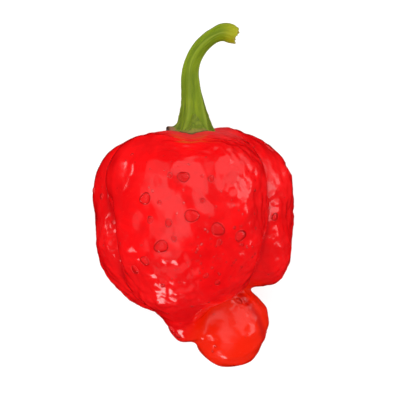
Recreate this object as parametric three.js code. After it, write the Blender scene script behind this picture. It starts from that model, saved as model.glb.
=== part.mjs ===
// A ripe habanero pod with its calyx and cut stem, lying on its two back lobes.
// Millimetres. +X and +Y lie on the table, +Y towards the stem, +Z up.
import * as THREE from 'three';
import { mergeVertices } from 'three/addons/utils/BufferGeometryUtils.js';

// ---- Driving dimensions ----

// The pod is three egg-shaped lobes pressed together. An egg has its widest section at
// centre: rise and drop are its heights towards the stem and the tail, and shoulder and foot
// say how square those two ends are (2 is an ellipse). lean moves an end sideways.
const FRONT = {
  centre: [-1.4, 5.0, 4.8], halfWidth: 14.1, halfDepth: 11.2,
  rise: 13.0, drop: 18.6, shoulder: 3.0, foot: 2.25,
  leanTop: [0, 0], leanFoot: [0.4, -1.5],
};
const LEFT = {
  centre: [-6.3, 4.4, -5.6], halfWidth: 11.8, halfDepth: 10.7,
  rise: 13.4, drop: 18.4, shoulder: 2.75, foot: 2.45,
  leanTop: [0.4, 0], leanFoot: [1.1, 0],
};
const RIGHT = {
  centre: [6.2, 4.5, -6.3], halfWidth: 11.6, halfDepth: 10.0,
  rise: 13.7, drop: 14.5, shoulder: 2.8, foot: 5.5,
  leanTop: [-1.5, 0], leanFoot: [-1.1, 0],
};
const SECTION_POWER = 2.25;
const CREASE = 0.6;

// The front lobe has a dent in its left flank, where the left lobe swells out.
const DENT = { centre: [-18.6, -1.8, 4.0], radius: 5.6, stretch: [1.0, 1.4, 1.6], blend: 3.0 };
const HUMP = { centre: [-11.6, -1.6, -0.4], radius: 5.1, blend: 3.0 };

// The tail: a neck that runs out of the front lobe, a bulb made of two balls, and a web of
// flesh that joins them behind the groove.
const NECK = { from: [-3.4, -7.5, 3.0], to: [-1.1, -16.4, -2.4], radiusFrom: 7.3, radiusTo: 3.3, blend: 2.0 };
const WEB = { centre: [3.8, -12.6, -4.2], radius: 4.6, blend: 1.5 };
const BULB = { centre: [6.3, -18.0, -5.0], radius: 6.35, blend: 2.0 };
const KNOB = { centre: [8.4, -14.9, -5.4], radius: 4.3, blend: 3.0 };

// Hollows pressed into the shoulders: a dip in front of the stem and the seat under it.
const DIP = { centre: [-1.1, 21.0, 7.5], radius: 3.5, stretch: [0.9, 1.0, 1.9], blend: 2.2 };
const SEAT = { centre: [0.1, 20.4, 1.4], radius: 4.0, blend: 2.5 };

// Slow swells of the flesh: three crossed waves of a tenth of a millimetre each.
const SWELL_HEIGHT = 0.1;
const SWELLS = [
  { wave: [0.52, 0.23, -0.31], start: 0.4 },
  { wave: [-0.25, 0.49, 0.37], start: 2.1 },
  { wave: [0.17, -0.38, 0.61], start: 4.4 },
];

// The underside is pressed flat where the two back lobes carry the pod.
const TABLE = -15.9;

// The pod's skin is found along a fan of rays. The fan opens from the heart of the body,
// then its origin travels down a short spine to the heart of the bulb, while the rays
// close from BODY_ANGLE to BULB_ANGLE, easing by the power NECK_EASE, and there it opens
// again to the bulb's tip. Each ray is walked in steps until it is outside, and the last
// step is then halved again and again.
const SPINE = [[-0.6, -1.6, 0.7], [4.2, -13.6, -2.5], [2.7, -10.5, -2.5], [7.0, -17.0, -4.8]];
const BODY_SHARE = 0.55;
const NECK_SHARE = 0.28;
const BODY_ANGLE = THREE.MathUtils.degToRad(137);
const BULB_ANGLE = THREE.MathUtils.degToRad(105);
const NECK_EASE = 1.2;
const RAY_STEP = 0.3;
const RAY_HALVINGS = 18;
const SKIN_AROUND = 66;
const SKIN_ALONG = 50;

// The calyx is a low plug with a thin lobed rim that lies in the seat. Its flat crown is at
// the height given, and the stem grows out of it.
const CALYX = { centre: [0.1, 2.2], rim: 4.1, crown: 18.6, crownShare: 0.78, lip: 0.5, lobes: 5, scallop: 0.07 };
const GAP = 0.3;
const STEM_LINE = [
  [0.1, 18.9, 2.2], [-0.05, 21.5, 2.2], [-0.35, 24.5, 2.3], [-0.65, 27.4, 2.4], [-0.45, 29.6, 2.5],
  [0.35, 31.6, 2.6], [1.6, 33.3, 2.7], [3.3, 34.7, 2.8], [5.3, 35.4, 2.9], [7.4, 34.8, 3.0],
];
const STEM_BASE_RADIUS = 3.2;
const STEM_RADIUS = 1.38;
const STEM_END_RADIUS = 1.75;
const STEM_FLARE = 0.22;
const STEM_RIDGES = 5;
const STEM_RIDGE_HEIGHT = 0.05;

// ---- The pod ----

// One egg: below zero inside, above zero outside, in millimetres near the surface.
function egg(x, y, z, lobe) {
  const height = y - lobe.centre[1];
  const up = height > 0;
  const along = up ? height / lobe.rise : -height / lobe.drop;
  const power = up ? lobe.shoulder : lobe.foot;
  const lean = up ? lobe.leanTop : lobe.leanFoot;
  const across = (x - lobe.centre[0] - lean[0] * along * along) / lobe.halfWidth;
  const deep = (z - lobe.centre[2] - lean[1] * along * along) / lobe.halfDepth;
  const face = (along ** power + Math.abs(across) ** power) ** (1 / power);
  const size = (face ** SECTION_POWER + Math.abs(deep) ** SECTION_POWER) ** (1 / SECTION_POWER);
  return (size - 1) * Math.min(lobe.halfWidth, lobe.halfDepth);
}

function ball(x, y, z, { centre, radius, stretch = [1, 1, 1] }) {
  const dx = (x - centre[0]) / stretch[0];
  const dy = (y - centre[1]) / stretch[1];
  const dz = (z - centre[2]) / stretch[2];
  return Math.hypot(dx, dy, dz) - radius;
}

// A round bar between two points whose radius eases from one end to the other.
function neck(x, y, z) {
  const [ax, ay, az] = NECK.from;
  const [bx, by, bz] = NECK.to.map((value, axis) => value - NECK.from[axis]);
  const along = ((x - ax) * bx + (y - ay) * by + (z - az) * bz) / (bx * bx + by * by + bz * bz);
  const t = THREE.MathUtils.clamp(along, 0, 1);
  const radius = THREE.MathUtils.lerp(NECK.radiusFrom, NECK.radiusTo, THREE.MathUtils.smoothstep(t, 0, 1));
  return Math.hypot(x - ax - t * bx, y - ay - t * by, z - az - t * bz) - radius;
}

// The smaller of two distances, rounded where they are within blend of each other.
function join(a, b, blend) {
  const share = THREE.MathUtils.clamp(0.5 + (b - a) / (2 * blend), 0, 1);
  return THREE.MathUtils.lerp(b, a, share) - blend * share * (1 - share);
}

function swell(x, y, z) {
  let height = 0;
  for (const { wave, start } of SWELLS) {
    height += Math.sin(wave[0] * x + wave[1] * y + wave[2] * z + start);
  }
  return SWELL_HEIGHT * height;
}

// The field of a body with a ball pressed into it.
function press(field, x, y, z, hollow) {
  return -join(-field, ball(x, y, z, hollow), hollow.blend);
}

// The whole pod as one field: its skin is where this is zero.
function pod(x, y, z) {
  const front = join(press(egg(x, y, z, FRONT), x, y, z, DENT), neck(x, y, z), NECK.blend);
  const left = join(egg(x, y, z, LEFT), ball(x, y, z, HUMP), HUMP.blend);
  const bulb = join(ball(x, y, z, BULB), ball(x, y, z, KNOB), KNOB.blend);
  let field = join(join(front, left, CREASE), egg(x, y, z, RIGHT), CREASE);
  field = join(field, ball(x, y, z, WEB), WEB.blend);
  field = join(field, bulb, BULB.blend);
  field = press(press(field, x, y, z, DIP), x, y, z, SEAT);
  return field - swell(x, y, z);
}

// The point where a ray leaves the pod: step outwards, then halve the last step.
function skinPoint(origin, direction) {
  const at = (reach) => origin.clone().addScaledVector(direction, reach);
  const isOutside = (reach) => {
    const point = at(reach);
    return pod(point.x, point.y, point.z) > 0;
  };
  let outer = RAY_STEP;
  while (!isOutside(outer)) {
    outer += RAY_STEP;
  }
  let inner = outer - RAY_STEP;
  for (let halving = 0; halving < RAY_HALVINGS; halving += 1) {
    const middle = (inner + outer) / 2;
    if (isOutside(middle)) {
      outer = middle;
    } else {
      inner = middle;
    }
  }
  return at(outer);
}

const spine = new THREE.CubicBezierCurve3(...SPINE.map((point) => new THREE.Vector3(...point)));

// The ray for a point of a unit sphere whose +Y pole is the stem end. The fan leans with the
// spine, by the shortest turn from straight down to the spine's direction.
function skinRay(point) {
  const travel = Math.acos(THREE.MathUtils.clamp(point.y, -1, 1)) / Math.PI;
  const neckEnd = BODY_SHARE + NECK_SHARE;
  const along = THREE.MathUtils.clamp((travel - BODY_SHARE) / NECK_SHARE, 0, 1);
  let angle = (BODY_ANGLE * travel) / BODY_SHARE;
  if (travel > BODY_SHARE) {
    angle = THREE.MathUtils.lerp(BULB_ANGLE, BODY_ANGLE, (1 - along) ** NECK_EASE);
  }
  if (travel > neckEnd) {
    angle = THREE.MathUtils.mapLinear(travel, neckEnd, 1, BULB_ANGLE, Math.PI);
  }
  const around = Math.atan2(point.z, point.x);
  const side = Math.sin(angle);
  const direction = new THREE.Vector3(side * Math.cos(around), Math.cos(angle), side * Math.sin(around));
  const down = new THREE.Vector3(0, -1, 0);
  const lean = new THREE.Quaternion().setFromUnitVectors(down, spine.getTangent(along));
  return { origin: spine.getPoint(along), direction: direction.applyQuaternion(lean) };
}

// Welds a three.js shape into one closed skin and moves each of its points.
function reshape(geometry, move) {
  geometry.deleteAttribute('normal');
  geometry.deleteAttribute('uv');
  const skin = mergeVertices(geometry, 1e-5);
  const position = skin.getAttribute('position');
  const point = new THREE.Vector3();
  for (let index = 0; index < position.count; index += 1) {
    point.fromBufferAttribute(position, index);
    const moved = move(point);
    position.setXYZ(index, moved.x, moved.y, moved.z);
  }
  skin.computeVertexNormals();
  return skin;
}

function makeFruit() {
  const geometry = reshape(new THREE.SphereGeometry(1, SKIN_AROUND, SKIN_ALONG), (point) => {
    const { origin, direction } = skinRay(point);
    const onSkin = skinPoint(origin, direction);
    return onSkin.setZ(Math.max(onSkin.z, TABLE));
  });
  const flesh = new THREE.MeshStandardMaterial({ color: 0xe11a17, roughness: 0.22, metalness: 0 });
  return new THREE.Mesh(geometry, flesh);
}

// ---- The calyx and the stem ----

// Height of the pod's top over a point, looking down the stem.
function seatHeight(x, z) {
  const start = new THREE.Vector3(x, SPINE[0][1], z);
  return skinPoint(start, new THREE.Vector3(0, 1, 0)).y;
}

function makeCalyx() {
  const [cx, cz] = CALYX.centre;
  const geometry = reshape(new THREE.SphereGeometry(1, 40, 12), (point) => {
    const around = Math.atan2(point.z, point.x);
    const out = Math.hypot(point.x, point.z);
    const rim = CALYX.rim * (1 + CALYX.scallop * Math.cos(CALYX.lobes * around));
    const x = cx + rim * out * Math.cos(around);
    const z = cz + rim * out * Math.sin(around);
    const under = seatHeight(x, z) + GAP;
    const drop = THREE.MathUtils.smoothstep(out, CALYX.crownShare, 1);
    const over = THREE.MathUtils.lerp(CALYX.crown, under + CALYX.lip, drop);
    return new THREE.Vector3(x, point.y < -1e-6 ? under : over, z);
  });
  const sepal = new THREE.MeshStandardMaterial({ color: 0x7d8f2a, roughness: 0.6, metalness: 0 });
  return new THREE.Mesh(geometry, sepal);
}

function makeStem() {
  const line = new THREE.CatmullRomCurve3(STEM_LINE.map((point) => new THREE.Vector3(...point)));
  const rings = 36;
  const frames = line.computeFrenetFrames(rings, false);
  const geometry = reshape(new THREE.CylinderGeometry(1, 1, 1, 20, rings), (point) => {
    const along = point.y + 0.5;
    const ring = Math.round(along * rings);
    const around = Math.atan2(point.z, point.x);
    const flare = Math.exp(-along / STEM_FLARE);
    const swollen = THREE.MathUtils.smoothstep(along, 0.8, 1);
    const plain = STEM_RADIUS + (STEM_END_RADIUS - STEM_RADIUS) * swollen;
    const ridge = 1 + STEM_RIDGE_HEIGHT * Math.cos(STEM_RIDGES * around);
    const radius = (plain + (STEM_BASE_RADIUS - STEM_RADIUS) * flare) * ridge * Math.hypot(point.x, point.z);
    return line.getPointAt(along)
      .addScaledVector(frames.normals[ring], radius * Math.cos(around))
      .addScaledVector(frames.binormals[ring], -radius * Math.sin(around));
  });
  const rind = new THREE.MeshStandardMaterial({ color: 0x8a9e1e, roughness: 0.45, metalness: 0 });
  return new THREE.Mesh(geometry, rind);
}

// ---- The whole pepper, standing its box's bottom centre on the origin ----

const pepper = new THREE.Group();
const pieces = { fruit: makeFruit(), calyx: makeCalyx(), stem: makeStem() };
for (const [name, piece] of Object.entries(pieces)) {
  piece.name = name;
  pepper.add(piece);
}
const box = new THREE.Box3().setFromObject(pepper);
const middle = box.getCenter(new THREE.Vector3());
pepper.position.set(-middle.x, -middle.y, -box.min.z);

export default pepper;
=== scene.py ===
# %% [markdown]
# # A ripe habanero, wet, on a white table
#
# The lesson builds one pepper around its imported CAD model, the frame. The frame says how
# big the pod, the calyx and the stem are and where they lie. Blender adds what the frame
# leaves out: the lumps of the flesh, the waxy skin, the ridged stem and the water.

import bpy
import numpy as np
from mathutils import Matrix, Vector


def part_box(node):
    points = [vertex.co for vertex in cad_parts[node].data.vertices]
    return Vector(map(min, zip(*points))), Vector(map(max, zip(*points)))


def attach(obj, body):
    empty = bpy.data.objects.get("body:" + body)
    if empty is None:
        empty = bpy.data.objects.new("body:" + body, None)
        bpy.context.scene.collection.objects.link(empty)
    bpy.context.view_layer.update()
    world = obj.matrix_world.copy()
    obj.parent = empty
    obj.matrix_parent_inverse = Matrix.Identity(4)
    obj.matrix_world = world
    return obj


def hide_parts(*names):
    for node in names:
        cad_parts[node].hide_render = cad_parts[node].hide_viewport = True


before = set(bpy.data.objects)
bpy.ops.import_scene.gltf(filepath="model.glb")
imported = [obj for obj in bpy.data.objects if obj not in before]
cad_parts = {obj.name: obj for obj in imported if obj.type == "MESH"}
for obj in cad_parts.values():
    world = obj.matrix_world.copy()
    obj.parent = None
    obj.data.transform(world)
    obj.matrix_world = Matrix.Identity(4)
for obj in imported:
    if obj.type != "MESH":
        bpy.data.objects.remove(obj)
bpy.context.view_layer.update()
MM = 0.001

# %% [markdown]
# ## The camera
#
# The pepper lies on its back lobes, and it is seen from straight above, as a product is on
# a copy stand. A long lens from a good distance keeps the round pod from bulging towards
# the viewer. The field is a little larger than the pepper, with the pod below the middle.

# %% Camera
FIELD = 72.0
SENSOR = 36.0
LENS = 170.0
MIDDLE_HEIGHT = 11.0
CAMERA_ASIDE = (1.2, -0.55)

camera_data = bpy.data.cameras.new("camera")
camera_data.sensor_width = SENSOR
camera_data.lens = LENS
camera_height = MIDDLE_HEIGHT + FIELD * LENS / SENSOR
camera = bpy.data.objects.new("camera", camera_data)
camera.location = (CAMERA_ASIDE[0] * MM, CAMERA_ASIDE[1] * MM, camera_height * MM)
bpy.context.scene.collection.objects.link(camera)
bpy.context.scene.camera = camera
print("camera height, mm:", camera_height)

# %% [markdown]
# ## The studio
#
# A wet, waxy skin is a mirror of the room, so the lights are shaped by what they draw on
# it: a big soft box overhead with a brighter core makes the broad pale patch on the front
# lobe, and lower boxes around the pod make the broken glints on its flanks. A picture of a
# studio on the world would be quicker, but area lights can be moved one at a time. A box is
# set by its direction, its size and its brightness as seen from the pepper, because that is
# what the skin mirrors; its power is that brightness times pi times its area. One more box,
# the fill, is hidden from mirrors: it lights the red evenly without laying a veil over it.

# %% Soft boxes
def soft_box(name, azimuth, elevation, distance, width, height, brightness):
    """An area light that faces the pepper. Azimuth 0 is +X and 90 is +Y, in degrees, and
    distance, width and height are in metres."""
    around, up = np.radians([azimuth, elevation])
    away = np.array([np.cos(up) * np.cos(around), np.cos(up) * np.sin(around), np.sin(up)])
    data = bpy.data.lights.new(name, "AREA")
    data.shape = "RECTANGLE"
    data.size = width
    data.size_y = height
    data.energy = brightness * np.pi * width * height
    light = bpy.data.objects.new(name, data)
    light.location = away * distance
    light.rotation_euler = (np.pi / 2 - up, 0.0, around + np.pi / 2)
    bpy.context.scene.collection.objects.link(light)
    return light


soft_box("overhead_left", 186, 68, 0.55, 1.40, 0.40, 0.36)
soft_box("overhead_core", 186, 72, 0.53, 0.50, 0.24, 0.42)
soft_box("overhead_back", 48, 40, 0.55, 0.50, 0.60, 0.8)
soft_box("right_box", 9, 19, 0.50, 0.24, 0.17, 2.0)
soft_box("right_low_strip", 34, 5, 0.50, 0.20, 0.09, 0.8)
soft_box("left_strip", 158, 10, 0.50, 0.16, 0.08, 4.0)
soft_box("near_left_box", 208, 14, 0.50, 0.09, 0.07, 4.0)
soft_box("near_box", 250, 9, 0.50, 0.15, 0.12, 6.5)
fill = soft_box("fill", 130, 75, 0.80, 1.60, 1.60, 0.66)
fill.visible_glossy = False

# %% [markdown]
# The room itself is pale all round, as a light tent is, but the skin doesn't mirror it. In a
# real studio a polarising filter takes such a veil away, and here the room is simply hidden
# from glossy rays. The Standard view keeps a strong red strong, where the usual view
# would turn it pink as it gets brighter.

# %% World
PALE_ROOM = (0.66, 0.66, 0.66, 1.0)

world = bpy.data.worlds.new("room")
bpy.context.scene.world = world
world.use_nodes = True
world.node_tree.nodes["Background"].inputs["Color"].default_value = PALE_ROOM
world.cycles_visibility.glossy = False
bpy.context.scene.view_settings.view_transform = "Standard"
print("room brightness:", PALE_ROOM[0])

# %% [markdown]
# ## Shader maths
#
# A finish is a recipe of many small sums. Written as Python expressions they stay readable,
# so one small class wraps an output socket and turns +, - and * into Math nodes. Colours go
# through Mix nodes, and every other node comes from Recipe.node.

# %% A small language for shaders
class Wire:
    """A number on its way through a shader. Arithmetic on it adds Math nodes."""

    def __init__(self, recipe, socket):
        self.recipe = recipe
        self.socket = socket

    def maths(self, operation, *values):
        inputs = dict(enumerate(values))
        return self.recipe.node("ShaderNodeMath", {"operation": operation}, inputs)

    def __add__(self, other):
        return self.maths("ADD", self, other)

    def __sub__(self, other):
        return self.maths("SUBTRACT", self, other)

    def __rsub__(self, other):
        return self.maths("SUBTRACT", other, self)

    def __mul__(self, other):
        return self.maths("MULTIPLY", self, other)

    __radd__ = __add__
    __rmul__ = __mul__

    def ramp(self, low, high):
        """0 below low and 1 above high (or the reverse), smooth between them."""
        settings = {"interpolation_type": "SMOOTHSTEP"}
        return self.recipe.node("ShaderNodeMapRange", settings, {"Value": self, 1: low, 2: high})


class Recipe:
    """A material that is built node by node."""

    def __init__(self, name):
        self.material = bpy.data.materials.new(name)
        self.material.use_nodes = True
        self.tree = self.material.node_tree
        self.tree.nodes.clear()

    def node(self, kind, settings=None, inputs=None, output=0):
        """Adds a node: its settings first, then a value or a link for each named socket."""
        node = self.tree.nodes.new(kind)
        for name, value in (settings or {}).items():
            setattr(node, name, value)
        for name, value in (inputs or {}).items():
            if isinstance(value, Wire):
                self.tree.links.new(value.socket, node.inputs[name])
            else:
                node.inputs[name].default_value = value
        return Wire(self, node.outputs[output]) if node.outputs else None

    def place(self, stretch=(1.0, 1.0, 1.0)):
        """Object coordinates in millimetres, stretched along each axis."""
        here = self.node("ShaderNodeTexCoord", output="Object")
        scale = [factor / MM for factor in stretch]
        return self.node("ShaderNodeMapping", None, {"Vector": here, "Scale": scale})

    def noise(self, where, size, detail=3.0, roughness=0.5, distortion=0.0):
        """Cloudy noise from 0 to 1 whose clouds are about size across."""
        inputs = {"Vector": where, "Scale": 1.0 / size, "Detail": detail}
        inputs.update({"Roughness": roughness, "Distortion": distortion})
        return self.node("ShaderNodeTexNoise", None, inputs)

    def cells(self, where, size):
        """The distance to the nearest of many scattered points about size apart."""
        return self.node("ShaderNodeTexVoronoi", None, {"Vector": where, "Scale": 1.0 / size})

    def attribute(self, name):
        """A number that was stored at the mesh's points."""
        return self.node("ShaderNodeAttribute", {"attribute_name": name}, output="Fac")

    def blend(self, share, first, second):
        """The first colour where share is 0, the second where it is 1."""
        inputs = {0: share, 6: first, 7: second}
        return self.node("ShaderNodeMix", {"data_type": "RGBA"}, inputs, output=2)

    def bump(self, height, distance):
        """A normal tilted as if a height of 1 stood this many millimetres tall."""
        inputs = {"Height": height, "Distance": distance * MM}
        return self.node("ShaderNodeBump", None, inputs)

    def principled(self, inputs):
        """The all-round shader, with these values and links in its sockets."""
        return self.node("ShaderNodeBsdfPrincipled", None, inputs)

    def finish(self, shader):
        """Ends the recipe with this shader and returns the material."""
        self.node("ShaderNodeOutputMaterial", None, {"Surface": shader})
        print(f"{self.material.name}: {len(self.tree.nodes)} nodes")
        return self.material


def rgb(red, green, blue):
    """An opaque colour, as shares of light."""
    return (red, green, blue, 1.0)


# %% [markdown]
# ## The table
#
# A plain white sheet, lit a little from below like a light table, so that the shadows under
# the pod stay faint. More light from above would whiten it too, but it would bleach the red
# first. Mirrors see the sheet as little as they see the room.

# %% Table
TABLE_HALF = 1.5
TABLE_GLOW = 0.78


def make_table():
    """One square face, TABLE_HALF metres to each side of the middle."""
    half = TABLE_HALF
    corners = [(-half, -half, 0), (half, -half, 0), (half, half, 0), (-half, half, 0)]
    mesh = bpy.data.meshes.new("table")
    mesh.from_pydata(corners, [], [(0, 1, 2, 3)])
    table = bpy.data.objects.new("table", mesh)
    bpy.context.scene.collection.objects.link(table)
    recipe = Recipe("lit_white_sheet")
    inputs = {"Base Color": rgb(0.3, 0.3, 0.3), "Roughness": 0.9, "Specular IOR Level": 0.1}
    inputs.update({"Emission Color": rgb(1.0, 1.0, 1.0), "Emission Strength": TABLE_GLOW})
    mesh.materials.append(recipe.finish(recipe.principled(inputs)))
    table.visible_glossy = False
    return table


make_table()

# %% [markdown]
# ## The pod as a field
#
# A habanero swells as three lobes that press against each other, so the skin is smooth
# except for the sharp creases between them. Sculpting would work, but a formula keeps every
# size in view: each lobe is an egg, given as a function that is negative inside and
# positive outside, and the smaller of two such functions is the two bodies joined. Rounding
# that minimum a little gives a tight crease, and rounding it a lot gives a smooth neck.
# These are the frame's own dimensions, in millimetres, so the fine skin lies on the CAD.

# %% Eggs, balls and joins
def egg(p, centre, half_width, half_depth, rise, drop, shoulder, foot, lean_top, lean_foot):
    """(along^n + across^n)^(1/n) makes the face of the egg, and joining that with the depth
    by the section power makes it round. 1 is the skin, and 1 less than that is returned."""
    height = p[..., 1] - centre[1]
    up = height > 0
    along = np.where(up, height / rise, -height / drop)
    power = np.where(up, shoulder, foot)
    lean = [np.where(up, lean_top[i], lean_foot[i]) * along**2 for i in (0, 1)]
    across = np.abs(p[..., 0] - centre[0] - lean[0]) / half_width
    deep = np.abs(p[..., 2] - centre[2] - lean[1]) / half_depth
    face = (along**power + across**power) ** (1 / power)
    size = (face**SECTION_POWER + deep**SECTION_POWER) ** (1 / SECTION_POWER)
    return (size - 1) * min(half_width, half_depth)


def ball(p, centre, radius, stretch=(1, 1, 1)):
    """The distance to the centre, less the radius, in a space stretched along each axis."""
    return np.linalg.norm((p - np.array(centre)) / np.array(stretch), axis=-1) - radius


def bar(p, start, end, radius_start, radius_end):
    """A round bar: the distance to a line, less a radius that eases along it."""
    line = np.array(end) - np.array(start)
    t = np.clip((p - np.array(start)) @ line / (line @ line), 0, 1)
    radius = radius_start + (radius_end - radius_start) * t * t * (3 - 2 * t)
    return np.linalg.norm(p - np.array(start) - t[..., None] * line, axis=-1) - radius


def join(a, b, blend):
    """The smaller of a and b, less blend/4 where they meet, fading out blend away."""
    share = np.clip(0.5 + (b - a) / (2 * blend), 0, 1)
    return b + (a - b) * share - blend * share * (1 - share)


def press(body, hollow, blend):
    """The body with the hollow taken out of it, with a rounded lip."""
    return -join(-body, hollow, blend)


# %% The lobes, the tail and the hollows
SECTION_POWER = 2.25
CREASE = 0.6
FRONT = dict(
    centre=(-1.4, 5.0, 4.8), half_width=14.1, half_depth=11.2, rise=13.0, drop=18.6,
    shoulder=3.0, foot=2.25, lean_top=(0, 0), lean_foot=(0.4, -1.5),
)
LEFT = dict(
    centre=(-6.3, 4.4, -5.6), half_width=11.8, half_depth=10.7, rise=13.4, drop=18.4,
    shoulder=2.75, foot=2.45, lean_top=(0.4, 0), lean_foot=(1.1, 0),
)
RIGHT = dict(
    centre=(6.2, 4.5, -6.3), half_width=11.6, half_depth=10.0, rise=13.7, drop=14.5,
    shoulder=2.8, foot=5.5, lean_top=(-1.5, 0), lean_foot=(-1.1, 0),
)
DENT = dict(centre=(-18.6, -1.8, 4.0), radius=5.6, stretch=(1, 1.4, 1.6))
HUMP = dict(centre=(-11.6, -1.6, -0.4), radius=5.1)
NECK = dict(start=(-3.4, -7.5, 3.0), end=(-1.1, -16.4, -2.4), radius_start=7.3, radius_end=3.3)
BULB = dict(centre=(6.3, -18.0, -5.0), radius=6.35)
KNOB = dict(centre=(8.4, -14.9, -5.4), radius=4.3)
WEB = dict(centre=(3.8, -12.6, -4.2), radius=4.6)
DIP = dict(centre=(-1.1, 21.0, 7.5), radius=3.5, stretch=(0.9, 1, 1.9))
SEAT = dict(centre=(0.1, 20.4, 1.4), radius=4.0)
SOFT_BLEND = 3.0
TAIL_BLEND = 2.0
WEB_BLEND = 1.5
DIP_BLEND = 2.2
SEAT_BLEND = 2.5
SWELLS = (((0.52, 0.23, -0.31), 0.4), ((-0.25, 0.49, 0.37), 2.1), ((0.17, -0.38, 0.61), 4.4))
SWELL_HEIGHT = 0.1
TABLE_HEIGHT = -15.9


def bodies(p):
    """The front, left and right lobes and the tail's bulb, each as its own field."""
    front = press(egg(p, **FRONT), ball(p, **DENT), SOFT_BLEND)
    front = join(front, bar(p, **NECK), TAIL_BLEND)
    left = join(egg(p, **LEFT), ball(p, **HUMP), SOFT_BLEND)
    bulb = join(ball(p, **BULB), ball(p, **KNOB), SOFT_BLEND)
    return front, left, egg(p, **RIGHT), bulb


def pod(p):
    """All the bodies joined, with a web of flesh between the lobes and the bulb, the dip and
    the stem's seat pressed in, less three slow waves that swell the flesh."""
    front, left, right, bulb = bodies(p)
    field = join(join(front, left, CREASE), right, CREASE)
    field = join(field, ball(p, **WEB), WEB_BLEND)
    field = join(field, bulb, TAIL_BLEND)
    field = press(field, ball(p, **DIP), DIP_BLEND)
    field = press(field, ball(p, **SEAT), SEAT_BLEND)
    waves = sum(np.sin(p @ np.array(wave) + start) for wave, start in SWELLS)
    return field - SWELL_HEIGHT * waves


def outward(p, step=0.02):
    """The unit normal of the skin: the slope of the field, by central differences."""
    axes = np.eye(3) * step
    slope = np.stack([pod(p + axis) - pod(p - axis) for axis in axes], -1)
    return slope / np.linalg.norm(slope, axis=-1, keepdims=True)


# %% [markdown]
# ## A grid on the skin
#
# The skin is a closed sheet, so it can be a grid of two parameters: u runs round the pod,
# and v from the stem to the tail's tip. Every (u, v) is a ray, and the point is where that
# ray leaves the field. From one centre the rays would miss the far side of the hooked tail,
# so the centre slides down a short curve from the body into the bulb while the rays turn.

# %% Rays and where they leave
SPINE = np.array([(-0.6, -1.6, 0.7), (4.2, -13.6, -2.5), (2.7, -10.5, -2.5), (7.0, -17.0, -4.8)])
BODY_SHARE = 0.55
NECK_SHARE = 0.28
BODY_ANGLE, BULB_ANGLE = np.radians([137, 105])
NECK_EASE = 1.2
HALVINGS = 16


def fan(u, v):
    """Origins on a cubic curve, and directions at the angle from the stem that grows with v
    over the body, shrinks along the neck and grows to 180 degrees over the bulb. The
    directions then turn with the curve, by the shortest turn from straight down."""
    along = np.clip((v - BODY_SHARE) / NECK_SHARE, 0, 1)
    angle = np.where(v < BODY_SHARE, BODY_ANGLE * v / BODY_SHARE,
                     BULB_ANGLE + (BODY_ANGLE - BULB_ANGLE) * (1 - along) ** NECK_EASE)
    bulb = (v - BODY_SHARE - NECK_SHARE) / (1 - BODY_SHARE - NECK_SHARE)
    angle = np.where(bulb > 0, BULB_ANGLE + (np.pi - BULB_ANGLE) * bulb, angle)
    t = along[..., None]
    a, b, c, d = SPINE
    origin = (1 - t) ** 3 * a + 3 * (1 - t) ** 2 * t * b + 3 * (1 - t) * t**2 * c + t**3 * d
    tangent = (1 - t) ** 2 * (b - a) + 2 * (1 - t) * t * (c - b) + t**2 * (d - c)
    tangent /= np.linalg.norm(tangent, axis=-1, keepdims=True)
    ray = np.stack([np.sin(angle) * np.cos(u), np.cos(angle), np.sin(angle) * np.sin(u)], -1)
    down = np.broadcast_to((0.0, -1.0, 0.0), tangent.shape)
    axle = np.cross(down, tangent)
    level = np.sum(down * tangent, -1, keepdims=True)
    turned = ray * level + np.cross(axle, ray)
    turned += axle * np.sum(axle * ray, -1, keepdims=True) / (1 + level)
    return origin, turned


def leave(origin, ray, field=pod, step=0.3, reach=30.0):
    """Steps every ray outwards at once until it is outside, then halves the last step."""
    far = np.full(origin.shape[:-1], step)
    for _ in range(int(reach / step)):
        inside = field(origin + far[..., None] * ray) < 0
        far = np.where(inside, far + step, far)
        if not inside.any():
            break
    near = far - step
    for _ in range(HALVINGS):
        middle = (near + far) / 2
        outside = field(origin + middle[..., None] * ray) > 0
        far = np.where(outside, middle, far)
        near = np.where(outside, near, middle)
    return origin + far[..., None] * ray


# %% [markdown]
# ## The lumps of the flesh
#
# Up close no part of the skin is as smooth as the eggs. It heaves slowly all over, its right
# side is pebbled like orange peel, the tail's bulb is knobbly, the shoulder by the stem is
# finely puckered, and two shallow furrows run down the front lobe. A Displace modifier with
# textures could do it, but what is big enough to bend a reflection or the outline is better
# in the mesh: a height, from formulas, that moves the points along their normals.

# %% Gradient noise
CELLS = 256
dice = np.random.default_rng(7)
SHUFFLE = dice.permutation(CELLS)
SLOPES = dice.normal(size=(CELLS, 3))
SLOPES /= np.linalg.norm(SLOPES, axis=1, keepdims=True)
CORNERS = np.array([(i, j, k) for i in (0, 1) for j in (0, 1) for k in (0, 1)])
SEED_STEP = 17.3


def cloud(p, size, seed):
    """Gradient noise. Space is cut in cubes of this size and every corner has a random
    slope; a point adds up what its cube's eight slopes say, eased from corner to corner."""
    place = p / size + SEED_STEP * seed
    cube = np.floor(place).astype(int)
    part = place - cube
    ease = part**3 * (part * (part * 6 - 15) + 10)
    height = np.zeros(p.shape[:-1])
    for corner in CORNERS:
        x, y, z = np.moveaxis((cube + corner) % CELLS, -1, 0)
        slope = SLOPES[SHUFFLE[(SHUFFLE[(SHUFFLE[x] + y) % CELLS] + z) % CELLS]]
        share = np.prod(np.where(corner == 1, ease, 1 - ease), -1)
        height += share * np.sum(slope * (part - corner), -1)
    return height


def ramp(value, low, high):
    """0 below low and 1 above high (or the reverse), smooth between them."""
    t = np.clip((value - low) / (high - low), 0, 1)
    return t * t * (3 - 2 * t)


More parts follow.
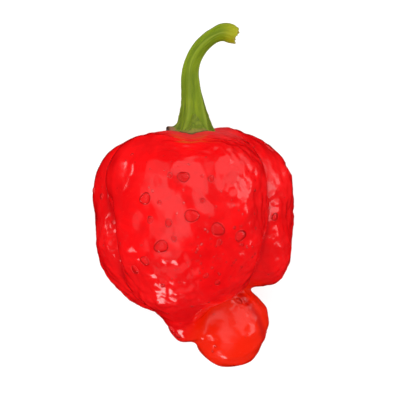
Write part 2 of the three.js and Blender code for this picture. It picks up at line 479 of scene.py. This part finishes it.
# %% Heights and sizes of the lumps, in millimetres
HEAVE_HEIGHT = 0.36
HEAVE_SIZE = 7.0
LUMP_HEIGHT = 0.16
FRONT_LUMP_HEIGHT = 0.20
LUMP_SIZE = 3.2
PEBBLE_HEIGHT = 0.62
PEBBLE_SIZE = 1.6
GRIT_HEIGHT = 0.22
GRIT_SIZE = 0.85
LEAST_PEBBLED = 0.14
PATCH_SIZE = 6.0
KNOB_HEIGHT = 0.30
KNOB_SIZE = 2.0
KNOB_STRETCH = np.array([0.6, 1.3, 1.0])
PUCKER_HEIGHT = 0.38
PUCKER_SIZE = 1.0
PUCKER_STRETCH = np.array([0.5, 1.2, 0.9])
SHOULDER_HEIGHT = 0.7
VALLEY_DEPTH = 0.55
VALLEY_WIDTH = 2.4
FOLD_DEPTH = 0.28
FOLD_WIDTH = 2.0


# %% The relief. Every ramp runs between two places in the pod's own frame
def pebbled(p):
    """How pebbled the skin is: mostly on the right side, low down in front, and on the left
    lobe, in patches, and hardly at all elsewhere or out on the tail."""
    x, y, z = np.moveaxis(p, -1, 0)
    patchy = 0.6 + 0.8 * cloud(p, PATCH_SIZE, 5)
    low = 0.8 * ramp(y, -1.0, -6.0) * ramp(x, 4.0, 0.0)
    left = ramp(x, -12.5, -14.5) * ramp(y, 4.0, 1.0)
    share = np.clip(ramp(x, 2.0, 8.5) + low + left, LEAST_PEBBLED, 1)
    return share * patchy * ramp(y, -17.0, -11.0)


def bell(*offsets):
    """1 where every offset is 0, falling as e to the minus square of each one."""
    return np.exp(-sum(offset**2 for offset in offsets))


def relief(p):
    """Millimetres of height over the plain skin: heaves, a shoulder on the right lobe,
    pebbles, the bulb's knobs and the puckers, less the front lobe's valley and fold."""
    x, y, z = np.moveaxis(p, -1, 0)
    front = ramp(z, 6.0, 11.0)
    heaves = HEAVE_HEIGHT * cloud(p, HEAVE_SIZE, 1)
    lump_height = LUMP_HEIGHT + FRONT_LUMP_HEIGHT * front
    heaves += lump_height * cloud(p, LUMP_SIZE, 2)
    shoulder = SHOULDER_HEIGHT * bell((x - 5.5) / 3.5, (z + 3.0) / 5.0) * ramp(y, 13.0, 17.0)
    pebbles = PEBBLE_HEIGHT * cloud(p, PEBBLE_SIZE, 3) + GRIT_HEIGHT * cloud(p, GRIT_SIZE, 4)
    pebbles *= pebbled(p)
    near_stem = ramp(np.hypot(x + 0.5, z - 6.0), 12.0, 7.0) * ramp(y, 11.5, 14.5)
    knobs = KNOB_HEIGHT * ramp(y, -13.0, -17.0) * cloud(p * KNOB_STRETCH, KNOB_SIZE, 7)
    puckers = PUCKER_HEIGHT * near_stem * cloud(p * PUCKER_STRETCH, PUCKER_SIZE, 6)
    valley_line = -0.4 + 0.2 * (16 - y)
    valley = VALLEY_DEPTH * bell((x - valley_line) / VALLEY_WIDTH) * ramp(y, 8.0, 13.0)
    fold_line = 4.4 - 0.1 * y
    fold = FOLD_DEPTH * bell((x - fold_line) / FOLD_WIDTH) * ramp(np.abs(y - 1.0), 9.0, 3.0)
    return heaves + shoulder + pebbles + knobs + puckers - front * (valley + fold)


def wet_skin(p):
    """The field of the lumpy skin, for what lies on it."""
    return pod(p) - relief(p)


# %% [markdown]
# ## From grids to meshes
#
# All the pieces here are closed sheets: rings of points from one tip to the other. A sheet
# could be drawn face by face, but one function serves every piece: it knits neighbouring
# rings into faces and closes each tip with a fan. Another stores numbers at the points, so
# that a finish can follow the surface without a seam.

# %% Knit rings into a mesh
def knit(name, rings, tips):
    """rings has the shape (bodies, rings, around, 3) and tips (bodies, 2, 3), in millimetres
    of the pod's own frame, which SHIFT carries to its place. Neighbours on the grid make a
    face, and each tip makes a fan.
    Every body's faces are the first body's, counted on by the points before it."""
    count, lines, around = rings.shape[:3]
    points = np.concatenate([rings.reshape(count, -1, 3), tips], 1)
    line = np.arange(lines - 1)[:, None]
    side = np.arange(around)[None, :]
    after = (side + 1) % around
    this, following = line * around, (line + 1) * around
    corners = [this + side, this + after, following + after, following + side]
    quads = np.stack(np.broadcast_arrays(*corners), -1).reshape(-1, 4)
    last = (lines - 1) * around
    first_tip = np.full(around, lines * around)
    first_fan = np.stack([first_tip, after[0], side[0]], -1)
    last_fan = np.stack([first_tip + 1, last + side[0], last + after[0]], -1)
    step = points.shape[1] * np.arange(count)[:, None, None]
    faces = []
    for part in (quads, first_fan, last_fan):
        faces += (part[None] + step).reshape(-1, part.shape[1]).tolist()
    places = (points.reshape(-1, 3) + SHIFT) * MM
    mesh = bpy.data.meshes.new(name)
    mesh.from_pydata(places.tolist(), [], faces)
    mesh.polygons.foreach_set("use_smooth", np.ones(len(mesh.polygons), bool))
    piece = bpy.data.objects.new(name, mesh)
    bpy.context.scene.collection.objects.link(piece)
    print(f"{name}: {len(mesh.vertices)} points, {len(mesh.polygons)} faces")
    return piece


def mark(piece, name, values):
    """Stores one number a point, or three, for the materials to read."""
    kind, field = ("FLOAT", "value") if values.ndim == 1 else ("FLOAT_VECTOR", "vector")
    layer = piece.data.attributes.new(name, kind, "POINT")
    layer.data.foreach_set(field, values.astype(np.float32).ravel())
    print(f"{piece.name}, {name}: {values.min():.2f} to {values.max():.2f}")


# %% [markdown]
# ## The pod
#
# The grid is laid on the plain field first, then every point moves along its normal by the
# relief. The underside is pressed flat at the table's height, where the pod's own weight
# rests on it. The CAD fruit says where the whole pod goes. Copying the CAD's own mesh would
# be simpler, but its faces are too coarse to carry the pebbles.

# %% Pod mesh
AROUND = 384
ALONG = 250
u = np.linspace(0, 2 * np.pi, AROUND, endpoint=False)[None, :]
v = np.linspace(0, 1, ALONG + 1)[:, None]
origins, directions = fan(*np.broadcast_arrays(u, v))
plain = leave(origins, directions)
low, high = [np.array(corner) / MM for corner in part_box("fruit")]
own_low, own_high = plain.min((0, 1)), plain.max((0, 1))
SHIFT = (low + high - own_low - own_high) / 2
SHIFT[2] = low[2] - TABLE_HEIGHT
print("the pod's frame sits at", SHIFT.round(3), "mm")

lumpy = plain + outward(plain) * relief(plain)[..., None]
lumpy[..., 2] = np.maximum(lumpy[..., 2], TABLE_HEIGHT)
fruit = knit("pepper_skin", lumpy[None, 1:-1], lumpy[None, [0, -1], 0])

# %% [markdown]
# The finish needs to know where on the pod it is: how far from a crease, how far out on the
# tail, how pebbled, and how near the stem. Painting that by hand would work, but the fields
# that made the shape already hold it: two lobes' fields are equal in the crease between them.

# %% Marks on the pod
STEM_FOOT = np.array([0.1, 17.4, 2.2])


def mark_grid(piece, name, grid):
    """Marks a piece whose first and last ring are its tips, from a grid of numbers."""
    mark(piece, name, np.concatenate([grid[1:-1].ravel(), grid[[0, -1], 0]]))


fields = np.stack(bodies(plain), 0)
nearest = np.sort(fields[:3], 0)
mark_grid(fruit, "crease", nearest[1] - nearest[0])
mark_grid(fruit, "tail", ramp(fields[3], 5.0, 0.5))
mark_grid(fruit, "pebbled", pebbled(plain))
mark_grid(fruit, "seat", ramp(np.linalg.norm(plain - STEM_FOOT, axis=-1), 10.5, 4.6))

# %% [markdown]
# ## The skin's finish
#
# Ripe skin is a clear wax over red flesh: a strong red that light enters a little, under a
# thin sharp gloss. The tail is more orange, where it ripened last. Under the gloss the red
# is faintly mottled, it is darkened in the creases as painted shade, and tiny pale pores are
# scattered over it. An image could carry all that, but noise on the Object coordinates has no
# seam and stays sharp up close. Round the stem the skin is duller, and its red is darkened
# there as painted shade under the calyx. Under a drop it has no gloss of its own, because
# there the water has taken it over.

# %% Skin
DEEP_RED = rgb(0.70, 0.0015, 0.003)
BRIGHT_RED = rgb(0.84, 0.0025, 0.004)
TAIL_ORANGE = rgb(0.80, 0.013, 0.0003)
CREASE_SHADE_RED = rgb(0.42, 0.001, 0.003)
PORE_PINK = rgb(0.95, 0.10, 0.05)
SEAT_SHADE_RED = rgb(0.55, 0.0008, 0.002)


def skin_red(recipe, here, grain, pores):
    """Two reds blended by slow noise, then the orange tail, painted shade in the creases, pores and
    painted shade round the seat.
    """
    mottle = recipe.noise(here, 5.0, detail=4, roughness=0.6, distortion=0.6)
    crease = recipe.attribute("crease").ramp(1.0, 0.0)
    tail = recipe.attribute("tail")
    seat = recipe.attribute("seat")
    red = recipe.blend(mottle.ramp(0.35, 0.7), DEEP_RED, BRIGHT_RED)
    red = recipe.blend(tail * 0.85 + grain * tail * 0.15, red, TAIL_ORANGE)
    # Painted shade: the red is darkened in the creases between the lobes.
    red = recipe.blend(crease * 0.6, red, CREASE_SHADE_RED)
    red = recipe.blend(pores * 0.15, red, PORE_PINK)
    # Painted shade: the red is darkened round the stem's seat, under the calyx.
    return recipe.blend(seat * (0.3 + grain * 0.4), red, SEAT_SHADE_RED)


def make_skin():
    """The red under a wax: dimples and fine grain tilt the light, and the wax is a coat that
    is missing under the drops and at the seat, and thinner on the tail."""
    recipe = Recipe("red_waxy_skin")
    here = recipe.place()
    grain = recipe.noise(here, 0.9, detail=3)
    pores = recipe.cells(here, 0.9).ramp(0.16, 0.05)
    tail = recipe.attribute("tail")
    rough = recipe.attribute("pebbled")
    wet = recipe.attribute("wet")
    seat = recipe.attribute("seat")
    dimples = recipe.noise(here, 0.6, detail=2) * (0.28 + rough * 0.5)
    fine = recipe.noise(here, 0.16, detail=2)
    inputs = {"Base Color": skin_red(recipe, here, grain, pores)}
    inputs["Normal"] = recipe.bump(dimples * 0.9 + fine * 0.08 - pores * 0.1, 0.08)
    worn_gloss = grain * 0.08 + rough * 0.08 + tail * 0.04
    inputs["Roughness"] = 0.10 + worn_gloss + wet * 0.8 + seat * 0.65
    inputs["Coat Weight"] = (1 - wet) * (1 - seat) * (1 - tail * 0.5) * 0.4
    inputs.update({"IOR": 1.45, "Coat Roughness": 0.05, "Coat IOR": 1.5})
    inputs.update({"Subsurface Weight": 0.12, "Subsurface Radius": (1.0, 0.15, 0.08)})
    inputs["Subsurface Scale"] = 2.0 * MM
    return recipe.finish(recipe.principled(inputs))


fruit.data.materials.append(make_skin())
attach(fruit, "root")
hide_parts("fruit")


# %% [markdown]
# ## The stem
#
# The stem is a ridged stalk, flared where it grows into the pod and a little swollen where
# it was snapped from the plant. It is a profile carried along a path: a radius that depends
# on how far along the point is, and slightly on the angle, which makes the ridges. The path
# is the CAD stem's own line. A Bezier curve with a bevel could do it, but the ragged end and
# the ridges that fade are easier as a formula.

# %% A path through chosen points, in millimetres of the pod's own frame
STEM_LINE = np.array([
    (0.1, 17.7, 2.2), (-0.05, 21.5, 2.2), (-0.35, 24.5, 2.3), (-0.65, 27.4, 2.4), (-0.45, 29.6, 2.5),
    (0.35, 31.6, 2.6), (1.6, 33.3, 2.7), (3.3, 34.7, 2.8), (5.3, 35.4, 2.9), (7.4, 34.8, 3.0),
])
PATH_FINENESS = 40


def smooth_path(points, count):
    """A Catmull-Rom curve: each stretch is a cubic whose slope at a point is half the step
    between that point's neighbours. Returns count evenly spaced places and their tangents."""
    ends = np.vstack([2 * points[0] - points[1], points, 2 * points[-1] - points[-2]])
    knots = np.linspace(0, len(points) - 1 - 1e-9, PATH_FINENESS * len(points))
    at = knots.astype(int)
    t = (knots - at)[:, None]
    a, b, c, d = [ends[at + offset] for offset in range(4)]
    curve = b + 0.5 * t * (c - a + t * (2 * a - 5 * b + 4 * c - d + t * (3 * (b - c) + d - a)))
    length = np.concatenate([[0], np.cumsum(np.linalg.norm(np.diff(curve, axis=0), axis=1))])
    even = np.linspace(0, length[-1], count)
    places = np.stack([np.interp(even, length, curve[:, axis]) for axis in range(3)], -1)
    tangents = np.gradient(places, axis=0)
    tangents /= np.linalg.norm(tangents, axis=1, keepdims=True)
    return places, tangents, length[-1]


# %% The stem's profile
STEM_AROUND = 120
STEM_ALONG = 260
STEM_RADIUS = 1.31
STEM_FLARE = 2.25
FLARE_REACH = 0.21
STEM_SWELLING = 0.34
CUT_TAPER = 0.20
CUT_START = 0.955
RIDGE_COUNT = 5
RIDGE_TWIST = 0.9
LUMPINESS = 0.10
CUT_SHRINK = np.array([0.97, 0.9, 0.78, 0.6, 0.4, 0.2])
CUT_HOLLOW = np.array([-0.06, 0.0, 0.12, 0.22, 0.28, 0.3])


def stem_radius(along):
    """The plain radius, which flares at the foot by a falling power of e and swells towards
    the cut end, where it tapers again."""
    flare = np.exp(-((along / FLARE_REACH) ** 1.15))
    radius = STEM_RADIUS + STEM_FLARE * flare + STEM_SWELLING * ramp(along, 0.80, 0.93)
    return radius - CUT_TAPER * ramp(along, CUT_START, 1.0)


def stem_ridges(along, around, twist):
    """The share by which ridges change the radius, and how deep they are there: sharp
    valleys from the size of a sine, and two fine waves for the strings."""
    depth = 0.03 + 0.075 * ramp(along, 0.75, 0.1)
    ridges = depth * (1 - 2 * np.abs(np.sin(RIDGE_COUNT / 2 * twist)) ** 0.8)
    ridges += 0.016 * np.cos(13 * twist + 4 * along) + 0.010 * np.cos(23 * around - 3 * along)
    return ridges, depth


def ragged_edge(around):
    """How far along the stem the cut's lip is torn, from three waves round it."""
    slow = 0.16 * np.cos(3 * around + 0.6)
    return slow + 0.10 * np.cos(7 * around + 2.0) + 0.07 * np.cos(12 * around)


# %% Stem mesh
GRAIN_RADIUS = 1.5
GRAIN_STRETCH = 0.16


def after_cut(values, ends):
    """The values along the stem, and then those of the rings that close its cut end."""
    return np.concatenate([values, ends])


def make_stem():
    """The profile carried along the path: place + radius * (side * cos + up * sin). The last
    rings shrink inwards over the cut, which is hollow in the middle."""
    line, tangent, length = smooth_path(STEM_LINE, STEM_ALONG)
    print("stem length, mm:", round(length, 1))
    closing = len(CUT_SHRINK)
    line = after_cut(line, np.repeat(line[-1:], closing, 0))[:, None, :]
    tangent = after_cut(tangent, np.repeat(tangent[-1:], closing, 0))[:, None, :]
    along = after_cut(np.linspace(0, 1, STEM_ALONG), np.ones(closing))[:, None]
    shrink = after_cut(np.ones(STEM_ALONG), CUT_SHRINK)[:, None]
    hollow = after_cut(np.zeros(STEM_ALONG), CUT_HOLLOW)[:, None]
    around = np.linspace(0, 2 * np.pi, STEM_AROUND, endpoint=False)[None, :]
    twist = around + RIDGE_TWIST * along + 0.35
    side = np.cross(tangent, (0.0, 0.0, 1.0))
    side /= np.linalg.norm(side, axis=-1, keepdims=True)
    up = np.cross(side, tangent)
    circle = np.cos(around)[..., None] * side + np.sin(around)[..., None] * up
    ridges, depth = stem_ridges(along, around, twist)
    lumps = LUMPINESS * cloud(line + GRAIN_RADIUS * circle, 2.2, 8)
    radius = (stem_radius(along) * (1 + ridges) + lumps) * shrink
    slide = ramp(along, CUT_START, 1.0) * ragged_edge(around) * shrink - hollow
    rings = line + radius[..., None] * circle + slide[..., None] * tangent
    tips = np.stack([line[0, 0], line[-1, 0] - CUT_HOLLOW[-1] * tangent[-1, 0]])
    piece = knit("stem_rind", rings[None], tips[None])
    round_stem = (GRAIN_RADIUS * np.cos(twist), GRAIN_RADIUS * np.sin(twist))
    grain = np.broadcast_arrays(*round_stem, GRAIN_STRETCH * length * along)
    grain = np.stack(grain, -1)
    mark(piece, "grain", np.vstack([grain.reshape(-1, 3), grain[[0, -1], 0]]))
    along, ridges, shrink = np.broadcast_arrays(along, ridges / depth, shrink)
    for name, values in (("along", along), ("ridge", ridges), ("cut", 1 - shrink)):
        mark(piece, name, np.concatenate([values.ravel(), values[[0, -1], 0]]))
    return piece


stem = make_stem()

# %% [markdown]
# ## The stem's finish
#
# A satin green rind with soft strings along it, paler on the ridges as a painted highlight
# and darker between them, darker again towards its edges as painted shade where it turns away,
# yellow near the snapped end, which is corky at its lip. Noise on the Object coordinates would
# run across the bend, so it is read in coordinates of the stem's own, kept at the points: two
# that circle the stem, and one that creeps along it.

# %% Rind
DARK_GREEN = rgb(0.110, 0.168, 0.0002)
LIGHT_GREEN = rgb(0.190, 0.262, 0.001)
RIDGE_HIGHLIGHT_GREEN = rgb(0.265, 0.320, 0.028)
CLOUD_GREEN = rgb(0.115, 0.185, 0.0005)
EDGE_SHADE_GREEN = rgb(0.065, 0.100, 0.004)
END_YELLOW = rgb(0.33, 0.32, 0.004)
CORK = rgb(0.33, 0.26, 0.035)


def rind_green(recipe, strings):
    """Two greens blended by the strings, then a painted highlight on the ridges, clouds, painted
    shade towards the edges, the end and its cork.
    """
    along = recipe.attribute("along")
    ridge = recipe.attribute("ridge").ramp(-0.3, 1.0)
    clouds = recipe.noise(recipe.place(), 2.6, detail=3)
    edge = recipe.node("ShaderNodeLayerWeight", None, {"Blend": 0.5}, output="Facing")
    green = recipe.blend(strings.ramp(0.3, 0.7), DARK_GREEN, LIGHT_GREEN)
    # Painted highlight: the rind is paler along the ridges.
    green = recipe.blend(ridge * 0.5, green, RIDGE_HIGHLIGHT_GREEN)
    green = recipe.blend(clouds.ramp(0.45, 0.8) * 0.5, green, CLOUD_GREEN)
    # Painted shade: the rind darkens towards its edges, where it turns away.
    green = recipe.blend(edge.ramp(0.35, 0.95) * 0.6, green, EDGE_SHADE_GREEN)
    end = along.ramp(0.86, 0.985) * (0.55 + clouds * 0.6)
    green = recipe.blend(end, green, END_YELLOW)
    torn = recipe.attribute("cut") + along.ramp(0.985, 1.0) * 0.35
    cork = torn * strings.ramp(0.35, 0.6)
    return recipe.blend(cork.ramp(0.05, 0.5), green, CORK)


def make_rind():
    """The greens with a low sheen, and strings that stand up a little."""
    recipe = Recipe("green_stem_rind")
    grain = recipe.node("ShaderNodeAttribute", {"attribute_name": "grain"}, output="Vector")
    strings = recipe.noise(grain, 0.75, detail=4, roughness=0.55)
    fine = recipe.noise(grain, 0.15, detail=2)
    inputs = {"Base Color": rind_green(recipe, strings)}
    inputs.update({"Roughness": 0.42 + strings * 0.2, "Specular IOR Level": 0.22})
    inputs["Normal"] = recipe.bump(strings * 0.6 + fine * 0.3, 0.09)
    inputs.update({"Subsurface Weight": 0.1, "Subsurface Radius": (0.6, 1.0, 0.1)})
    inputs["Subsurface Scale"] = 0.8 * MM
    return recipe.finish(recipe.principled(inputs))


stem.data.materials.append(make_rind())
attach(stem, "root")
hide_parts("stem")

# %% [markdown]
# ## The calyx
#
# The calyx is the worn green skirt where stem and pod meet. Five teeth stand out of its rim:
# the one in front lies over the pod's shoulder, and the one on the left has dried brown and
# curls up. A flat shape pressed onto the pod with a Shrinkwrap modifier would do, but the
# pod's field is at hand, so the height of the skin under any point can simply be asked for.

# %% Calyx outline
CALYX_CENTRE = np.array([0.1, 2.2])
CALYX_RIM = 4.0
CALYX_AROUND = 180
TOOTH_ANGLES = np.radians([181, 96, 58, 318, 250])
TOOTH_LENGTHS = np.array([1.05, 1.35, 0.25, 0.3, 0.3])
TOOTH_WIDTHS = np.radians([17, 22, 16, 17, 16])
DRY_SPREAD = 1.6


def calyx_outline(around):
    """The rim's distance from the middle, which is a circle with a bell for each tooth and a
    fine nibble, and how dry it is there: 1 at the first tooth, falling to each side."""
    turn = np.angle(np.exp(1j * (around[..., None] - TOOTH_ANGLES)))
    teeth = TOOTH_LENGTHS * np.exp(-np.abs(turn / TOOTH_WIDTHS) ** 1.4)
    nibble = 0.10 * np.cos(17 * around) * np.cos(5 * around + 1)
    return CALYX_RIM + teeth.sum(-1) + nibble, bell(turn[..., 0] / (DRY_SPREAD * TOOTH_WIDTHS[0]))


# %% Calyx mesh
OVER_RINGS = 34
UNDER_RINGS = 20
INNER_SHARE = 0.15
CALYX_THICKNESS = 0.22
CALYX_LIFT = 0.05
CALYX_SINK = 0.12
CONE_HEIGHT = 2.3
CONE_SHARE = 0.42
VEIN_HEIGHT = 0.05
CURL_HEIGHT = 0.9
CURL_UNDER = 0.3
DRY_THICKENING = 1.5


def seat_height(x, z):
    """How high the wet skin stands above (x, z): the ray from inside the pod leaves there."""
    start = np.stack([x, np.full_like(x, 12.0), z], -1)
    rising = np.broadcast_to((0.0, 1.0, 0.0), start.shape)
    return leave(start, rising, wet_skin, 0.2, 9.0)[..., 1]


def make_calyx():
    """The sheet goes out over the top, turns at the rim and comes back under the skin. Its top
    is the skin's height, plus a lip that thins to nothing at the rim, a cone that rises to
    the stem, faint veins and the dry tooth's curl."""
    around = np.linspace(0, 2 * np.pi, CALYX_AROUND, endpoint=False)[None, :]
    reach, dry = calyx_outline(around)
    outwards = np.linspace(INNER_SHARE, 1, OVER_RINGS)
    out = np.concatenate([outwards, np.linspace(0.99, INNER_SHARE, UNDER_RINGS)])[:, None]
    over = (np.arange(len(out)) < OVER_RINGS)[:, None]
    x = CALYX_CENTRE[0] + reach * out * np.cos(around)
    z = CALYX_CENTRE[1] + reach * out * np.sin(around)
    seat = seat_height(x, z)
    lip = CALYX_THICKNESS * np.sqrt(np.clip(1 - out**6, 0, 1)) * (1 + DRY_THICKENING * dry)
    cone = CONE_HEIGHT * np.clip((1.0 - out) / CONE_SHARE, 0, 1.3) ** 1.7
    curl = CURL_HEIGHT * dry * ramp(out * reach, CALYX_RIM - 0.6, CALYX_RIM + 0.9)
    veins = VEIN_HEIGHT * np.cos(15 * around + 0.7) * ramp(out, 0.2, 0.8)
    top = seat + CALYX_LIFT + lip + cone + veins + curl
    height = np.where(over, top, seat - CALYX_SINK + CURL_UNDER * curl)
    rings = np.stack([x, height, z], -1)
    piece = knit("calyx_skirt", rings[None], rings[[0, -1]].mean(1)[None])
    # The rim mark carries the real wear and also the painted shadow at the very edge.
    rim_wear_and_shadow = np.broadcast_to(ramp(out, 0.70, 1.0), x.shape)
    for name, values in (("rim_wear_and_shadow", rim_wear_and_shadow), ("dry", dry * rim_wear_and_shadow)):
        mark(piece, name, np.concatenate([values.ravel(), values[[0, -1], 0]]))
    return piece


calyx = make_calyx()

# %% [markdown]
# Its finish is the stem's green gone dull, then tan towards the rim, with a thin dark edge
# that is painted shadow where the lip stands off the skin, and brown to black where it is dry.
# It could share the stem's material, but the wear and the painted shadow follow the rim, so it
# gets its own, blended by the two marks that the mesh carries.

# %% Sepal
SEPAL_DARK = rgb(0.085, 0.130, 0.001)
SEPAL_LIGHT = rgb(0.190, 0.240, 0.006)
SEPAL_TAN = rgb(0.26, 0.17, 0.035)
SEPAL_RIM_SHADOW = rgb(0.07, 0.035, 0.008)
DRY_BROWN = rgb(0.30, 0.13, 0.06)
DRY_TIP = rgb(0.035, 0.018, 0.010)


def make_sepal():
    """Greens blended by fibres, then the wear from the rim inwards with a painted shadow at its very
    edge, then the dry tooth.
    """
    recipe = Recipe("worn_green_sepal")
    here = recipe.place((1.0, 0.4, 1.0))
    fibres = recipe.noise(here, 0.5, detail=4, roughness=0.65)
    rim_wear_and_shadow = recipe.attribute("rim_wear_and_shadow")
    dry = recipe.attribute("dry")
    tone = recipe.blend(fibres.ramp(0.3, 0.7), SEPAL_DARK, SEPAL_LIGHT)
    tone = recipe.blend(rim_wear_and_shadow.ramp(0.2, 0.9) * (0.35 + fibres * 0.8), tone, SEPAL_TAN)
    # Painted shadow: a thin dark line at the very rim, where the lip stands off the skin.
    tone = recipe.blend(rim_wear_and_shadow.ramp(0.93, 1.0) * 0.8, tone, SEPAL_RIM_SHADOW)
    tone = recipe.blend(dry.ramp(0.1, 0.5), tone, DRY_BROWN)
    tone = recipe.blend(dry.ramp(0.75, 0.95) * fibres.ramp(0.3, 0.6), tone, DRY_TIP)
    inputs = {"Base Color": tone, "Roughness": 0.5 + fibres * 0.25, "Specular IOR Level": 0.35}
    inputs["Normal"] = recipe.bump(fibres, 0.12)
    return recipe.finish(recipe.principled(inputs))


calyx.data.materials.append(make_sepal())
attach(calyx, "root")
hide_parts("calyx")

# %% [markdown]
# ## Water drops
#
# Water beads on wax: each drop is a low dome, a little uneven in outline, with its foot just
# under the skin so that no gap shows. Particles could scatter them, but the larger ones are
# placed one by one where water gathers, and a fine spray of much coarser domes is strewn at
# random from a fixed seed. Each is dropped straight down until it lands, then turned to the
# skin's normal.

# %% Places of the larger drops: along x, along y, radius
DROPS = np.array([
    (-0.4, 3.2, 1.17), (-5.6, -2.0, 1.17), (-8.4, -4.5, 0.8), (-10.1, -6.1, 0.8), (-1.8, 9.8, 1.0),
    (2.9, 9.5, 0.55), (-4.1, 10.1, 0.45), (1.4, 9.9, 0.3), (-1.8, 7.6, 0.2), (1.4, 5.8, 0.45),
    (-8.3, 6.1, 1.0), (-5.9, 5.4, 0.4), (-7.4, 2.5, 0.6), (-4.3, 2.0, 0.65), (-3.4, -0.7, 0.5),
    (4.0, 0.9, 1.2), (7.9, -0.2, 1.0), (4.3, -1.3, 0.5), (-16.4, 6.5, 0.5), (2.0, -7.0, 0.45),
    (4.0, -8.3, 0.5), (13.1, 4.5, 0.3), (14.2, 2.9, 0.7), (-5.4, -8.8, 0.4), (7.9, -12.1, 0.7),
    (13.4, 15.3, 0.9), (-18.0, 7.6, 0.5), (-4.0, -17.2, 0.7), (-3.0, -18.2, 0.55),
])
SKY = 20.0


def land(x, y):
    """The place on the wet skin straight below (x, y), and which of them hit the pod."""
    start = np.stack([x, y, np.full_like(x, SKY)], -1)
    falling = np.broadcast_to((0.0, 0.0, -1.0), start.shape)
    place = leave(start, falling, lambda p: -wet_skin(p), 0.2, SKY - TABLE_HEIGHT)
    return place, wet_skin(place) < 0.01


# %% Domes of water
DOME_HEIGHT = 0.42
DOME_VARIATION = 0.05
FOOT_DEPTH = 0.12
DOME_FULLNESS = 0.8
ASLANT = (0.31, 0.95, 0.05)


def beads(name, x, y, radius, around, lines, seed):
    """Domes: out from the middle as a power of the sine of an angle, and up as its cosine
    times the dome's height, or below the rim times the foot's depth. Heights are in radii.
    Two slow waves make each outline uneven."""
    place, hit = land(x, y)
    place, radius = place[hit], radius[hit]
    draw = np.random.default_rng(seed).uniform(0, 2 * np.pi, (3, hit.sum(), 1, 1))
    normal = outward(place)
    side = np.cross(normal, ASLANT)
    side /= np.linalg.norm(side, axis=-1, keepdims=True)
    front = np.cross(side, normal)
    turn = np.linspace(0, 2 * np.pi, around, endpoint=False)[None, None, :]
    fall = np.linspace(0, np.pi, lines + 2)[None, 1:-1, None]
    uneven = 1 + 0.11 * np.cos(2 * turn + draw[0]) + 0.06 * np.cos(3 * turn + draw[1])
    width = (np.sin(fall) ** DOME_FULLNESS * uneven)[..., None]
    tall = DOME_HEIGHT + DOME_VARIATION * np.cos(draw[2])
    lift = (np.where(fall < np.pi / 2, tall, FOOT_DEPTH) * np.cos(fall))[..., None]
    axes = [axis[:, None, None, :] for axis in (side, front, normal)]
    flat = np.cos(turn)[..., None] * axes[0] + np.sin(turn)[..., None] * axes[1]
    size = radius[:, None, None, None]
    rings = place[:, None, None, :] + size * (width * flat + lift * axes[2])
    top = place + tall[:, 0] * radius[:, None] * normal
    tips = np.stack([top, place - FOOT_DEPTH * radius[:, None] * normal], 1)
    return knit(name, rings, tips)


# %% Strewing the spray
SPRAY_HALF = 95
SPRAY_MIDDLE = (4.0, -3.0)
SPRAY_SPREAD = 4.2
LEAST_SPRAY = 0.10
SPRAY_RANGE = 0.20


def strew(dice, middle, low, high):
    """Half of the places gather round the middle, and half lie anywhere from low to high."""
    gathered = dice.normal(middle, SPRAY_SPREAD, SPRAY_HALF)
    return np.concatenate([gathered, dice.uniform(low, high, SPRAY_HALF)])


scatter = np.random.default_rng(21)
spray_x = strew(scatter, SPRAY_MIDDLE[0], -17, 17)
spray_y = strew(scatter, SPRAY_MIDDLE[1], -22, 16)
spray_size = LEAST_SPRAY + SPRAY_RANGE * scatter.random(2 * SPRAY_HALF) ** 2
drops = beads("water_drops", *DROPS.T, 28, 13, 3)
spray = beads("water_spray", spray_x, spray_y, spray_size, 10, 4, 4)

# %% Where the skin is under water
foot, hit = land(*DROPS[:, :2].T)
apart = np.linalg.norm(lumpy[:, :, None] - foot[hit], axis=-1) / DROPS[hit, 2]
mark_grid(fruit, "wet", ramp(apart.min(-1), 1.05, 0.85))
print("larger drops that landed on the pod:", int(hit.sum()), "of", len(DROPS))


# %% [markdown]
# Water bends light and has no colour of its own. A lamp can't be aimed at through a bend, so
# most of its light is let straight through as a shadow ray. Towards its steep rim a drop is
# blended into a dark tinted film, a painted shade that draws a fine ring round it. Glass
# alone would be truer, but so small a drop would then need a great many more samples.

# %% Water
RIM_SHADE_TINT = rgb(0.60, 0.18, 0.18)
SHADOW_TINT = rgb(0.8, 0.8, 0.8)


def make_water():
    """Clear water, blended towards a dark tinted film as its face turns away, which paints a
    shade ring at its rim, and for shadow rays a film that is only a little grey."""
    recipe = Recipe("clear_water")
    inputs = {"Base Color": rgb(1.0, 1.0, 1.0), "Roughness": 0.0, "IOR": 1.33}
    inputs.update({"Transmission Weight": 1.0, "Specular IOR Level": 0.25})
    water = recipe.principled(inputs)
    rim = recipe.node("ShaderNodeBsdfTransparent", None, {"Color": RIM_SHADE_TINT})
    slope = recipe.node("ShaderNodeLayerWeight", None, {"Blend": 0.5}, output="Facing")
    # Painted shade: the drop turns into a dark tinted film towards its rim.
    ring = slope.ramp(0.12, 0.42) * 0.9
    drop = recipe.node("ShaderNodeMixShader", None, {0: ring, 1: water, 2: rim})
    shade = recipe.node("ShaderNodeBsdfTransparent", None, {"Color": SHADOW_TINT})
    shadow = recipe.node("ShaderNodeLightPath", output="Is Shadow Ray")
    return recipe.finish(recipe.node("ShaderNodeMixShader", None, {0: shadow, 1: drop, 2: shade}))


water = make_water()
for piece in (drops, spray):
    piece.data.materials.append(water)
    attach(piece, "root")
